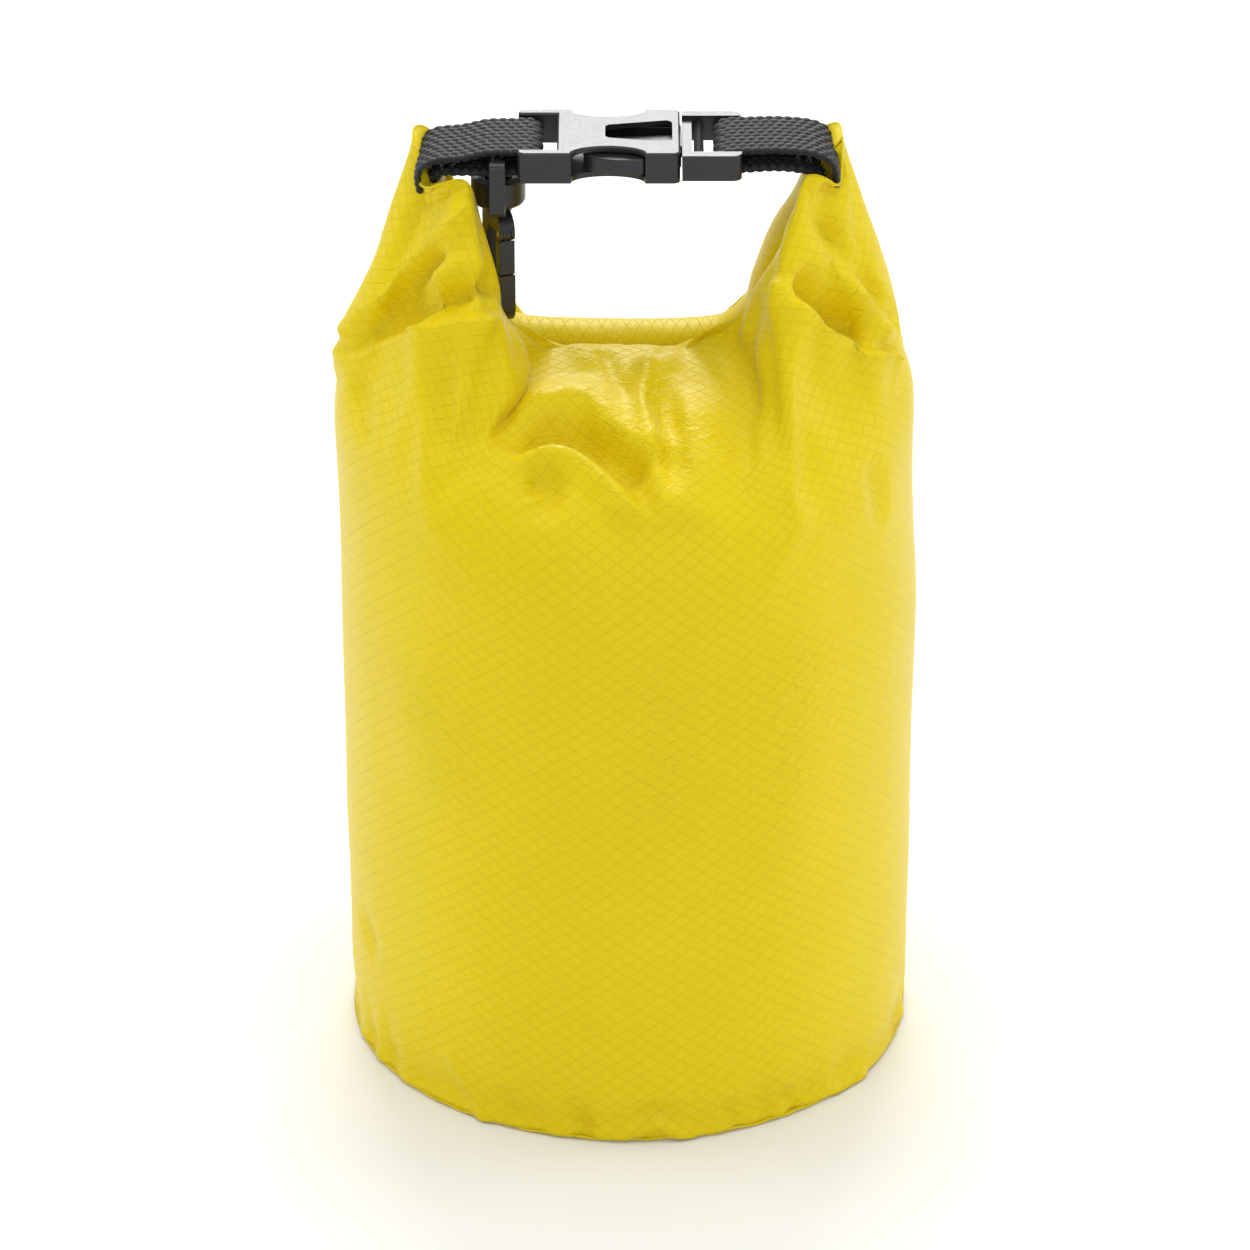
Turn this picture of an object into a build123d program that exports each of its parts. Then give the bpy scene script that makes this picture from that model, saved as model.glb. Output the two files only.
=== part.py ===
from build123d import *
import math
import os

# Roll-top dry bag, stuffed and closed, standing on its round base.
# Origin: centre of the flat base. +X towards the plug half of the buckle,
# +Y towards the back seam, +Z up. Millimetres.

# Bag tube and base
BAG_RADIUS = 84.5
WALL_TOP = 190.0
FABRIC = 0.9
BASE_TUCK = 1.5
BASE_ROUND = 8.0
SHOULDER_TUCK = 1.0
TAPE_THICK = 0.35
BASE_TAPE_WIDTH = 16.0
SEAM_TAPE_DEG = 12.0

# Gathered neck, rolled mouth and turned-up ends
NECK_TOP = WALL_TOP + 22.0
NECK_HALF_DEPTH = 30.0
CREST_RISE = 10.0
ROLL_DEPTH = 18.0
ROLL_HEIGHT = 10.0
ROLL_Y = 14.0
STIFFENER_THICK = 1.2
STIFFENER_WIDTH = 10.0
SLIDE_GAP = 0.3

# Closure strap
WEB_WIDTH = 25.0
WEB_THICK = 1.8
STRAP_MID = NECK_TOP + 72.3
WEB_END = 60.0
BAR_HEIGHT = 3.4
WEB_GAP = 0.2

# Side-release buckle
BUCKLE_HALF_WIDTH = WEB_WIDTH / 2 + 4.0
BUCKLE_THICK = 9.3
BUCKLE_PLATE = 1.6
ARM_INNER = WEB_WIDTH / 2 + 0.6
SOCKET_LEFT = -32.0
SOCKET_BLOCK = -20.7
SOCKET_MOUTH = 14.6
CAVITY_BACK = -17.5
CAVITY_HALF = 14.2
WINDOW_LEFT = -16.7
WINDOW_RIGHT = 4.6
PLUG_LEFT = 15.2
PLUG_RIGHT = 32.3
PLUG_ARM_HEIGHT = 7.8
TONGUE_HALF = 3.0
PRONG_THICK = 4.8
LATCH_GAP = 0.3

# Swivel hook
HOOK_X = -37.8
EYE_BAR_R = 1.8
EYE_CLEAR = 0.9
EYE_ARM = 3.4
BOSS_R = 7.9
BOSS_HEIGHT = 8.0
BOSS_DROP = 16.6
STEM_R = 2.5
SPIN_GAP = 0.08
HEAD_R = 4.0
HOOK_HALF_WIDTH = 8.5
HOOK_THICK = 4.5
HOOK_DROP = 36.0
HOOK_TURN = 19.0
LIMB = 4.1
PIN_R = 0.8
PIN_GAP = 0.05

# Derived heights
LOWER_BOTTOM = STRAP_MID - BAR_HEIGHT / 2 - WEB_GAP - WEB_THICK - 0.8
LOWER_TOP = LOWER_BOTTOM + WEB_THICK
EYE_Z = LOWER_TOP + WEB_GAP + EYE_BAR_R
UPPER_AT_EYE = EYE_Z + EYE_BAR_R + WEB_GAP
EAR_TOP = LOWER_BOTTOM
LOOP_INNER = BAR_HEIGHT / 2 + WEB_GAP
LOOP_OUTER = LOOP_INNER + WEB_THICK
BOSS_BOTTOM = EYE_Z - BOSS_DROP
BOSS_TOP = BOSS_BOTTOM + BOSS_HEIGHT
HOOK_TOP = BOSS_BOTTOM - 0.3
HOOK_BOTTOM = BOSS_BOTTOM - HOOK_DROP
WALL_BOTTOM_R = BAG_RADIUS - BASE_TUCK
WALL_TOP_R = BAG_RADIUS - SHOULDER_TUCK


def wall_radius(z):
    """Outside radius of the tube at a height."""
    low, high = BASE_ROUND + 52.0, WALL_TOP - 50.0
    if z < low:
        return WALL_BOTTOM_R + BASE_TUCK * (z - BASE_ROUND) / (low - BASE_ROUND)
    if z > high:
        return BAG_RADIUS - SHOULDER_TUCK * (z - high) / (WALL_TOP - high)
    return BAG_RADIUS


def wall_band(z0, z1, outer, inner):
    """Section through the wall between two heights, at two depths in it."""
    bends = [BASE_ROUND + 52.0, WALL_TOP - 50.0]
    heights = [z0] + [z for z in bends if z0 < z < z1] + [z1]
    out = [(wall_radius(z) - outer, z) for z in heights]
    back = [(wall_radius(z) - inner, z) for z in reversed(heights)]
    return out + back + [out[0]]


# Tube of coated fabric
with BuildPart() as body_wall:
    with BuildSketch(Plane.XZ):
        with BuildLine():
            Polyline(*wall_band(BASE_ROUND, WALL_TOP, 0, FABRIC))
        make_face()
    revolve(axis=Axis.Z)

# Round base with its turned-up rim
with BuildPart() as bottom_panel:
    with BuildSketch(Plane.XZ):
        with BuildLine():
            flat = WALL_BOTTOM_R - BASE_ROUND
            bend_out = (math.cos(math.pi / 4) * BASE_ROUND, BASE_ROUND * (1 - math.sin(math.pi / 4)))
            r_in = BASE_ROUND - FABRIC
            bend_in = (math.cos(math.pi / 4) * r_in, BASE_ROUND - math.sin(math.pi / 4) * r_in)
            Line((0, 0), (flat, 0))
            ThreePointArc((flat, 0), (flat + bend_out[0], bend_out[1]), (WALL_BOTTOM_R, BASE_ROUND))
            Line((WALL_BOTTOM_R, BASE_ROUND), (WALL_BOTTOM_R - FABRIC, BASE_ROUND))
            ThreePointArc(
                (WALL_BOTTOM_R - FABRIC, BASE_ROUND),
                (flat + bend_in[0], bend_in[1]),
                (flat, FABRIC),
            )
            Line((flat, FABRIC), (0, FABRIC))
            Line((0, FABRIC), (0, 0))
        make_face()
    revolve(axis=Axis.Z)

# Waterproof tape over the base seam, inside
with BuildPart() as bottom_seam_tape:
    with BuildSketch(Plane.XZ):
        with BuildLine():
            top = BASE_ROUND + BASE_TAPE_WIDTH
            Polyline(*wall_band(BASE_ROUND, top, FABRIC, FABRIC + TAPE_THICK))
        make_face()
    revolve(axis=Axis.Z)

# Waterproof tape down the back seam, inside
with BuildPart() as side_seam_tape:
    with BuildSketch(Plane.XZ.rotated((0, 0, 90 - SEAM_TAPE_DEG / 2))):
        with BuildLine():
            foot = BASE_ROUND + BASE_TAPE_WIDTH
            Polyline(*wall_band(foot, WALL_TOP, FABRIC, FABRIC + TAPE_THICK))
        make_face()
    revolve(axis=Axis.Z, revolution_arc=SEAM_TAPE_DEG)

# Gathered neck: drawn in from the tube to the flat shoulders, with its crest in front
with BuildPart() as neck:
    with BuildSketch(Plane.XY.offset(WALL_TOP)):
        Circle(WALL_TOP_R)
    with BuildSketch(Plane.XY.offset(NECK_TOP)):
        Ellipse(BAG_RADIUS, NECK_HALF_DEPTH)
    loft(ruled=True)
    with BuildSketch(Plane.XY.offset(NECK_TOP)):
        with Locations((0, -NECK_HALF_DEPTH / 2 - 2)):
            RectangleRounded(BAG_RADIUS * 1.1, NECK_HALF_DEPTH * 0.7, 5)
    with BuildSketch(Plane.XY.offset(NECK_TOP + CREST_RISE)):
        with Locations((0, -NECK_HALF_DEPTH / 2 - 1)):
            RectangleRounded(BAG_RADIUS * 0.95, 7, 3)
    loft(ruled=True)
    with BuildSketch(Plane.XY.offset(WALL_TOP)):
        Circle(WALL_TOP_R - FABRIC)
    with BuildSketch(Plane.XY.offset(NECK_TOP - FABRIC)):
        Ellipse(BAG_RADIUS - FABRIC - 2, NECK_HALF_DEPTH - FABRIC - 2)
    loft(ruled=True, mode=Mode.SUBTRACT)

# Mouth of the bag, rolled over its stiffener
ROLL_HALF = BAG_RADIUS * 0.56
ROLL_Z = NECK_TOP + ROLL_HEIGHT / 2
with BuildPart() as roll:
    with BuildSketch(Plane.YZ):
        with Locations((ROLL_Y, ROLL_Z)):
            RectangleRounded(ROLL_DEPTH, ROLL_HEIGHT, ROLL_HEIGHT / 2 - 0.1)
            Rectangle(STIFFENER_WIDTH, STIFFENER_THICK, mode=Mode.SUBTRACT)
    extrude(amount=ROLL_HALF, both=True)

with BuildPart() as mouth_stiffener:
    with BuildSketch(Plane.YZ):
        with Locations((ROLL_Y, ROLL_Z)):
            Rectangle(STIFFENER_WIDTH, STIFFENER_THICK)
    extrude(amount=ROLL_HALF, both=True)


def ear(side, lift, end):
    """Turned-up end of the roll, from the shoulder to the strap's end. side is -1 or 1."""
    inner = ROLL_HALF + 2.0
    top = end - 9.0
    sections = [
        (NECK_TOP + lift, inner, BAG_RADIUS, 22.0, 7.0),
        (NECK_TOP + 24, (inner + top) / 2 + 0.6, (BAG_RADIUS + end) / 2 + 5, 16.0, 6.0),
        (EAR_TOP, top, end + 2.0, WEB_WIDTH / 2, 2.0),
    ]
    with BuildPart() as shape:
        for low, high in zip(sections, sections[1:]):
            for z, near, far, half, corner in (low, high):
                with BuildSketch(Plane.XY.offset(z)):
                    with Locations((side * (near + far) / 2, 0)):
                        RectangleRounded(far - near, 2 * half, corner)
            loft(ruled=True)
        with BuildSketch(Plane.XY.offset(EAR_TOP)):
            with Locations((side * (end + 1.1), 0)):
                RectangleRounded(1.8, WEB_WIDTH - 0.4, 0.6)
        extrude(amount=8.0)
    return shape


# Left end of the roll, sewn round the strap's end
left_ear = ear(-1, 0.0, WEB_END)

# Right end of the roll, which leaves with the plug half
right_ear = ear(1, SLIDE_GAP, WEB_END - 3.0)


def strap_loop(side, loop_x, loop_z, upper, lower):
    """Both layers of a strap looped round a buckle bar. upper and lower are undersides and tops, outwards."""
    up_in = [(loop_x, loop_z + LOOP_INNER)] + upper
    up_out = [(x, z + WEB_THICK) for x, z in up_in]
    low_in = [(loop_x, loop_z - LOOP_INNER)] + lower
    low_out = [(x, z - WEB_THICK) for x, z in low_in]
    with BuildPart() as shape:
        with BuildSketch(Plane.XZ):
            with BuildLine():
                Polyline(*up_out)
                Line(up_out[-1], up_in[-1])
                Polyline(*up_in)
                ThreePointArc(up_in[0], (loop_x - side * LOOP_INNER, loop_z), low_in[0])
                Polyline(*low_in)
                Line(low_in[-1], low_out[-1])
                Polyline(*low_out)
                ThreePointArc(low_out[0], (loop_x - side * LOOP_OUTER, loop_z), up_out[0])
            make_face()
        extrude(amount=WEB_WIDTH / 2, both=True)
    return shape


LEFT_LOOP_X = -28.5
RIGHT_LOOP_X = 28.0
RIGHT_END = WEB_END - 3.0
TACK_GAP = 1.8

# Left strap: two layers from the left ear, over the eye bar, round the socket bar
LEFT_UPPER = [
    (LEFT_LOOP_X - 2.5, STRAP_MID + LOOP_INNER),
    (HOOK_X + 3.5, UPPER_AT_EYE),
    (HOOK_X - 3.5, UPPER_AT_EYE),
    (HOOK_X - 12.0, LOWER_TOP + TACK_GAP + 0.4),
    (-WEB_END, LOWER_TOP + TACK_GAP),
]
LEFT_LOWER = [
    (LEFT_LOOP_X - 2.5, STRAP_MID - LOOP_INNER),
    (HOOK_X + 4.0, LOWER_TOP),
    (-WEB_END, LOWER_TOP),
]
left_webbing = strap_loop(-1, LEFT_LOOP_X, STRAP_MID, LEFT_UPPER, LEFT_LOWER)

# Right strap: two layers from the right ear, round the plug bar
RIGHT_UPPER = [(40.0, STRAP_MID + LOOP_INNER), (RIGHT_END, LOWER_TOP + TACK_GAP + 2.0)]
RIGHT_LOWER = [
    (40.0, STRAP_MID - LOOP_INNER),
    (50.0, LOWER_TOP + 0.4),
    (RIGHT_END, LOWER_TOP),
]
right_webbing = strap_loop(1, RIGHT_LOOP_X, STRAP_MID, RIGHT_UPPER, RIGHT_LOWER)


def bar_tack(x, bottom, top, slope):
    """Dense thread bars joining two layers, in rows along the strap."""
    with BuildPart() as shape:
        for row in range(2):
            with BuildSketch(Plane.XY.offset(bottom)):
                with Locations((x + slope * 3.0 * row, 0)):
                    RectangleRounded(1.4, WEB_WIDTH - 4.0, 0.5)
            extrude(amount=top - bottom)
    return shape


# Thread bars that hold each strap's two layers together at the ear
left_bartack = bar_tack(-WEB_END + 1.5, LOWER_TOP, LOWER_TOP + TACK_GAP, 1)
right_bartack = bar_tack(RIGHT_END - 1.5, LOWER_TOP + 0.4, LOWER_TOP + TACK_GAP + 1.9, -1)

BUCKLE_LOW = STRAP_MID - BUCKLE_THICK / 2
WINDOW_MID = (WINDOW_LEFT + WINDOW_RIGHT) / 2
WINDOW_HALF = (WINDOW_RIGHT - WINDOW_LEFT) / 2

# Socket half: hollow block with press windows, thumb scoops, top window and strap bar
with BuildPart() as buckle_socket:
    with BuildSketch(Plane.XY.offset(BUCKLE_LOW)):
        with Locations(((SOCKET_LEFT + SOCKET_MOUTH) / 2, 0)):
            RectangleRounded(SOCKET_MOUTH - SOCKET_LEFT, 2 * BUCKLE_HALF_WIDTH, 2.0)
    extrude(amount=BUCKLE_THICK)
    with BuildSketch(Plane.XY.offset(BUCKLE_LOW)):
        with Locations(((SOCKET_LEFT + SOCKET_BLOCK) / 2 - 2, 0)):
            Rectangle(SOCKET_BLOCK - SOCKET_LEFT + 4, 2 * ARM_INNER)
        for y in (-BUCKLE_HALF_WIDTH, BUCKLE_HALF_WIDTH):
            with Locations((WINDOW_MID, y)):
                Ellipse(WINDOW_HALF, 5.3)
    extrude(amount=BUCKLE_THICK, mode=Mode.SUBTRACT)
    with BuildSketch(Plane.XY.offset(BUCKLE_LOW + BUCKLE_PLATE)):
        with Locations(((CAVITY_BACK + SOCKET_MOUTH + 1) / 2, 0)):
            Rectangle(SOCKET_MOUTH + 1 - CAVITY_BACK, 2 * CAVITY_HALF)
        with Locations((WINDOW_MID, 0)):
            Rectangle(2 * WINDOW_HALF, 2 * BUCKLE_HALF_WIDTH + 2)
    extrude(amount=BUCKLE_THICK - 2 * BUCKLE_PLATE, mode=Mode.SUBTRACT)
    with BuildSketch(Plane.XY.offset(STRAP_MID)) as top_window:
        with BuildLine():
            Polyline((-6.9, -4.6), (12.4, -8.2), (12.4, 8.2), (-6.9, 4.6), close=True)
        make_face()
        fillet(top_window.vertices(), 2.0)
    extrude(amount=BUCKLE_THICK, mode=Mode.SUBTRACT)
    with BuildSketch(Plane.XZ):
        with Locations((LEFT_LOOP_X - 0.8, STRAP_MID)):
            RectangleRounded(4.9, BAR_HEIGHT, BAR_HEIGHT / 2 - 0.05)
    extrude(amount=ARM_INNER, both=True)
    edges = buckle_socket.faces().sort_by(Axis.Z)[-1].outer_wire().edges()
    chamfer(edges, 0.5)

# Plug half: base, guide tongue, two arms, tooth bar and strap bar
PRONG_ROOT = PLUG_LEFT - 0.25
with BuildPart() as buckle_plug:
    with BuildSketch(Plane.XY.offset(STRAP_MID - PLUG_ARM_HEIGHT / 2)) as arms:
        for side in (-1, 1):
            mid_y = side * (ARM_INNER + BUCKLE_HALF_WIDTH) / 2
            with Locations(((PLUG_LEFT + PLUG_RIGHT) / 2, mid_y)):
                Rectangle(PLUG_RIGHT - PLUG_LEFT, BUCKLE_HALF_WIDTH - ARM_INNER)
        outer = [v for v in arms.vertices() if abs(v.Y) > ARM_INNER + 1 and v.X > PLUG_RIGHT - 1]
        fillet(outer, 2.8)
    extrude(amount=PLUG_ARM_HEIGHT)
    with BuildSketch(Plane.XY.offset(STRAP_MID - 2.7)):
        with Locations((PLUG_LEFT + 1.4, 0)):
            Rectangle(2.8, 2 * ARM_INNER)
    extrude(amount=5.4)
    with BuildSketch(Plane.XZ):
        with BuildLine():
            Polyline(
                (18.6, STRAP_MID - 1.7),
                (21.4, STRAP_MID - 1.7),
                (21.4, STRAP_MID + 1.4),
                (20.2, STRAP_MID + 2.6),
                (18.6, STRAP_MID + 1.4),
                close=True,
            )
        make_face()
        with Locations((RIGHT_LOOP_X + 0.8, STRAP_MID)):
            RectangleRounded(4.9, BAR_HEIGHT, BAR_HEIGHT / 2 - 0.05)
    extrude(amount=ARM_INNER, both=True)
    with BuildSketch(Plane.XY.offset(STRAP_MID - 1.7)):
        with BuildLine():
            Polyline(
                (PLUG_LEFT, -TONGUE_HALF - 1.2),
                (PLUG_LEFT, TONGUE_HALF + 1.2),
                (-9.0, TONGUE_HALF - 1.0),
                (-11.0, 0.8),
                (-11.0, -0.8),
                (-9.0, -TONGUE_HALF + 1.0),
                close=True,
            )
        make_face()
    extrude(amount=3.4)


def prong(side):
    """Springy latch arm with its thumb pad and shoulder. side is -1 (front) or 1 (back)."""
    low, high = 8.2, 10.8
    middle, radius = (low + high) / 2, (high - low) / 2
    root = PRONG_ROOT - radius
    shoulder = WINDOW_RIGHT - LATCH_GAP
    pad = CAVITY_HALF + 1.2
    with BuildPart() as shape:
        with BuildSketch(Plane.XY.offset(STRAP_MID - PRONG_THICK / 2)):
            with BuildLine():
                ThreePointArc((root, side * low), (PRONG_ROOT, side * middle), (root, side * high))
                Line((root, side * high), (shoulder, side * (high + 0.6)))
                Line((shoulder, side * (high + 0.6)), (shoulder, side * pad))
                Spline(
                    (shoulder, side * pad),
                    (-2.5, side * (pad + 0.5)),
                    (-8.5, side * (pad - 0.9)),
                    (WINDOW_LEFT + 3.4, side * (pad - 4.4)),
                )
                Line((WINDOW_LEFT + 3.4, side * (pad - 4.4)), (WINDOW_LEFT + 5.4, side * (pad - 5.8)))
                Line((WINDOW_LEFT + 5.4, side * (pad - 5.8)), (-2.0, side * (pad - 4.2)))
                Line((-2.0, side * (pad - 4.2)), (shoulder - 1.0, side * low))
                Line((shoulder - 1.0, side * low), (root, side * low))
            make_face()
        extrude(amount=PRONG_THICK)
    return shape


prong_front = prong(-1)
prong_back = prong(1)

# Eye of the hook: bar between the strap layers, side arms round the lower layer, and boss
EYE_INNER = WEB_WIDTH / 2 + EYE_CLEAR
HEAD_SEAT = BOSS_BOTTOM + 3.1
with BuildPart() as swivel_eye:
    with BuildSketch(Plane.YZ.offset(HOOK_X)):
        top = EYE_Z + EYE_BAR_R
        bottom = BOSS_BOTTOM + 1.8
        with Locations((0, (top + bottom) / 2)):
            RectangleRounded(2 * (EYE_INNER + EYE_ARM), top - bottom, 1.7)
        with Locations((0, (top + bottom + EYE_ARM) / 2 + 5)):
            RectangleRounded(2 * EYE_INNER, top - bottom - EYE_ARM + 10, 3.0, mode=Mode.SUBTRACT)
    extrude(amount=2.2, both=True)
    with BuildSketch(Plane.XZ):
        with Locations((HOOK_X, EYE_Z)):
            Circle(EYE_BAR_R)
    extrude(amount=EYE_INNER + 1.0, both=True)
    with BuildSketch(Plane.XY.offset(BOSS_BOTTOM)):
        with Locations((HOOK_X, 0)):
            Circle(BOSS_R)
    extrude(amount=BOSS_HEIGHT)
    rims = swivel_eye.faces().filter_by(Axis.Z).group_by(Axis.Z)[0].edges()
    fillet(rims, 1.6)
    with BuildSketch(Plane.XY.offset(BOSS_BOTTOM)):
        with Locations((HOOK_X, 0)):
            Circle(STEM_R + SPIN_GAP)
    extrude(amount=BOSS_HEIGHT, mode=Mode.SUBTRACT)
    with BuildSketch(Plane.XY.offset(HEAD_SEAT)):
        with Locations((HOOK_X, 0)):
            Circle(HEAD_R + 0.15)
    extrude(amount=BOSS_HEIGHT, mode=Mode.SUBTRACT)

# Hook plane: u points towards the gate, up stays up
turn = math.radians(HOOK_TURN)
hook_plane = Plane(
    origin=(HOOK_X, 0, 0),
    x_dir=(math.sin(turn), -math.cos(turn), 0),
    z_dir=(-math.cos(turn), -math.sin(turn), 0),
)
GATE_U = HOOK_HALF_WIDTH - 2.2
GATE_Z = HOOK_TOP - 7.2
NOSE_TOP = HOOK_BOTTOM + 15.8
KNUCKLE = 2.2
CHEEK = 1.3

# Hook: spine, bowl and nose, the fork for the gate, and the stem that turns in the boss
with BuildPart() as hook_body:
    with BuildSketch(hook_plane):
        with Locations((0, (HOOK_TOP - 1.2 + HOOK_BOTTOM) / 2)):
            RectangleRounded(2 * HOOK_HALF_WIDTH, HOOK_TOP - 1.2 - HOOK_BOTTOM, 5.5)
        with Locations((0, (HOOK_TOP - 7.2 + HOOK_BOTTOM + LIMB) / 2)):
            inside = 2 * (HOOK_HALF_WIDTH - LIMB)
            RectangleRounded(inside, HOOK_TOP - 7.2 - HOOK_BOTTOM - LIMB, 3.6, mode=Mode.SUBTRACT)
        with Locations((GATE_U, (NOSE_TOP + GATE_Z) / 2)):
            Rectangle(2 * (GATE_U - 1.0), GATE_Z - NOSE_TOP, mode=Mode.SUBTRACT)
        with Locations((GATE_U, GATE_Z)):
            Circle(KNUCKLE)
    extrude(amount=HOOK_THICK / 2, both=True)
    with BuildSketch(hook_plane):
        with Locations((GATE_U, GATE_Z)):
            Circle(KNUCKLE + 0.3)
            Circle(PIN_R, mode=Mode.SUBTRACT)
    extrude(amount=CHEEK, both=True, mode=Mode.SUBTRACT)
    with BuildSketch(hook_plane):
        with Locations((GATE_U, GATE_Z)):
            Circle(PIN_R)
    extrude(amount=HOOK_THICK, both=True, mode=Mode.SUBTRACT)
    with BuildSketch(Plane.XY.offset(HOOK_TOP - 1.8)):
        with Locations((HOOK_X, 0)):
            Circle(STEM_R + 1.6)
    extrude(amount=1.8)
    with BuildSketch(Plane.XY.offset(HOOK_TOP - 1.8)):
        with Locations((HOOK_X, 0)):
            Circle(STEM_R)
    extrude(amount=HEAD_SEAT + 0.2 - HOOK_TOP + 1.8)

# Head that keeps the stem in the boss
with BuildPart() as swivel_rivet:
    with BuildSketch(Plane.XY.offset(HEAD_SEAT + 0.2)):
        with Locations((HOOK_X, 0)):
            Circle(HEAD_R)
    extrude(amount=2.2)

# Gate: tongue in the fork and a full-thickness bar down to the nose
with BuildPart() as hook_gate:
    with BuildSketch(hook_plane):
        with Locations((GATE_U, (NOSE_TOP + 0.35 + GATE_Z) / 2)):
            Rectangle(3.7, GATE_Z - NOSE_TOP - 0.35)
        with Locations((GATE_U, GATE_Z)):
            Circle(KNUCKLE + 0.35, mode=Mode.SUBTRACT)
    extrude(amount=HOOK_THICK / 2, both=True)
    with BuildSketch(hook_plane):
        with Locations((GATE_U, GATE_Z - 2)):
            Rectangle(3.0, 4)
        with Locations((GATE_U, GATE_Z)):
            Circle(KNUCKLE - 0.1)
            Circle(PIN_R + PIN_GAP, mode=Mode.SUBTRACT)
    extrude(amount=CHEEK - 0.1, both=True)

# Pin across the fork
with BuildPart() as gate_pin:
    with BuildSketch(hook_plane):
        with Locations((GATE_U, GATE_Z)):
            Circle(PIN_R)
    extrude(amount=HOOK_THICK / 2, both=True)

pieces = {
    "body_wall": body_wall,
    "bottom_panel": bottom_panel,
    "bottom_seam_tape": bottom_seam_tape,
    "side_seam_tape": side_seam_tape,
    "neck": neck,
    "roll": roll,
    "mouth_stiffener": mouth_stiffener,
    "left_ear": left_ear,
    "right_ear": right_ear,
    "left_webbing": left_webbing,
    "right_webbing": right_webbing,
    "left_bartack": left_bartack,
    "right_bartack": right_bartack,
    "buckle_socket": buckle_socket,
    "buckle_plug": buckle_plug,
    "prong_front": prong_front,
    "prong_back": prong_back,
    "swivel_eye": swivel_eye,
    "hook_body": hook_body,
    "swivel_rivet": swivel_rivet,
    "hook_gate": hook_gate,
    "gate_pin": gate_pin,
}
os.makedirs("parts", exist_ok=True)
for name, piece in pieces.items():
    piece.part.label = name
    export_step(piece.part, f"parts/{name}.step")
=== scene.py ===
import math

import bmesh
import bpy
import numpy as np
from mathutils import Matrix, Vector, noise
from mathutils.bvhtree import BVHTree


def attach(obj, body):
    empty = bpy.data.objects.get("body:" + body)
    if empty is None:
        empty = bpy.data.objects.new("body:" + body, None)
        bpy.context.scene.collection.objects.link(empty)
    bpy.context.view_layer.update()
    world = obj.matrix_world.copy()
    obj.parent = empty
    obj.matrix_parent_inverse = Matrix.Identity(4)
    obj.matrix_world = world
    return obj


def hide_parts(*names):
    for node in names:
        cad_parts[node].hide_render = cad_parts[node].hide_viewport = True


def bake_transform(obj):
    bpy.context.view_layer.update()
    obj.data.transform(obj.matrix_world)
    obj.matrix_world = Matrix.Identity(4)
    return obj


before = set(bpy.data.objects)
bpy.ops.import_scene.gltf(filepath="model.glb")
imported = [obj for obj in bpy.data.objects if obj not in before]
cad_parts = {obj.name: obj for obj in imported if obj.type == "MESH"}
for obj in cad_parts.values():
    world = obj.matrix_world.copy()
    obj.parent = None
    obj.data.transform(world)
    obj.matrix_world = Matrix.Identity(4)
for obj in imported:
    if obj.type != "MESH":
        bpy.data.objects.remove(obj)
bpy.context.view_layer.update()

MM = 0.001

# The tube of fabric, in metres: its radius, where it starts above the floor, and its length from the
# base seam to the mouth's edge at the sides, the front and the back
RADIUS = 0.0845
TUBE_LOW = 0.004
SIDE_LENGTH = 0.2885
FRONT_LENGTH = 0.2805
BACK_LENGTH = 0.2505

# Columns round the tube and rows up it
AROUND = 192
UP = 108

# Thicknesses in metres
FABRIC_THICK = 0.00038
BASE_THICK = 0.00045
TAPE_THICK = 0.00025

# Share of the tube's radius that its bottom edge is drawn in to, and how far the base spreads again
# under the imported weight
BASE_EDGE = 0.955
BASE_PANEL_EDGE = 1.045
BASE_SPREAD = 0.060

# ---------------------------------------------------------------- mesh helpers


def add_to_scene(name, data):
    piece = bpy.data.objects.new(name, data)
    bpy.context.scene.collection.objects.link(piece)
    return piece


def new_object(name, verts, faces):
    mesh = bpy.data.meshes.new(name)
    mesh.from_pydata([tuple(v) for v in verts], [], faces)
    mesh.validate()
    mesh.shade_smooth()
    return add_to_scene(name, mesh)


def apply_modifiers(piece):
    """Replace the piece's mesh by what its modifiers make of it."""
    graph = bpy.context.evaluated_depsgraph_get()
    made = bpy.data.meshes.new_from_object(piece.evaluated_get(graph), depsgraph=graph)
    piece.modifiers.clear()
    if piece.data.shape_keys:
        piece.shape_key_clear()
    piece.data = made
    return piece


def smooth_curve(points, count):
    """Evenly spaced points on a smooth curve through the given points."""
    p = np.array(points, float)
    gaps = np.linalg.norm(np.diff(p, axis=0), axis=1)
    t = np.concatenate([[0], np.cumsum(gaps ** 0.5)])
    fine = []
    for i in range(len(p) - 1):
        a, b = p[i], p[i + 1]
        before = p[i - 1] if i > 0 else 2 * a - b
        after = p[i + 2] if i + 2 < len(p) else 2 * b - a
        h = t[i + 1] - t[i]
        h0 = t[i] - t[i - 1] if i > 0 else h
        h1 = t[i + 2] - t[i + 1] if i + 2 < len(p) else h
        m0 = ((b - a) / h * h0 + (a - before) / h0 * h) / (h0 + h) * h
        m1 = ((after - b) / h1 * h + (b - a) / h * h1) / (h + h1) * h
        for u in np.linspace(0, 1, 24, endpoint=False):
            fine.append(
                (2 * u**3 - 3 * u**2 + 1) * a + (u**3 - 2 * u**2 + u) * m0
                + (3 * u**2 - 2 * u**3) * b + (u**3 - u**2) * m1
            )
    fine.append(p[-1])
    fine = np.array(fine)
    run = np.concatenate([[0], np.cumsum(np.linalg.norm(np.diff(fine, axis=0), axis=1))])
    at = np.linspace(0, run[-1], count)
    return np.stack([np.interp(at, run, fine[:, k]) for k in range(3)], 1)


# ---------------------------------------------------------------- the bag's skin

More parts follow.
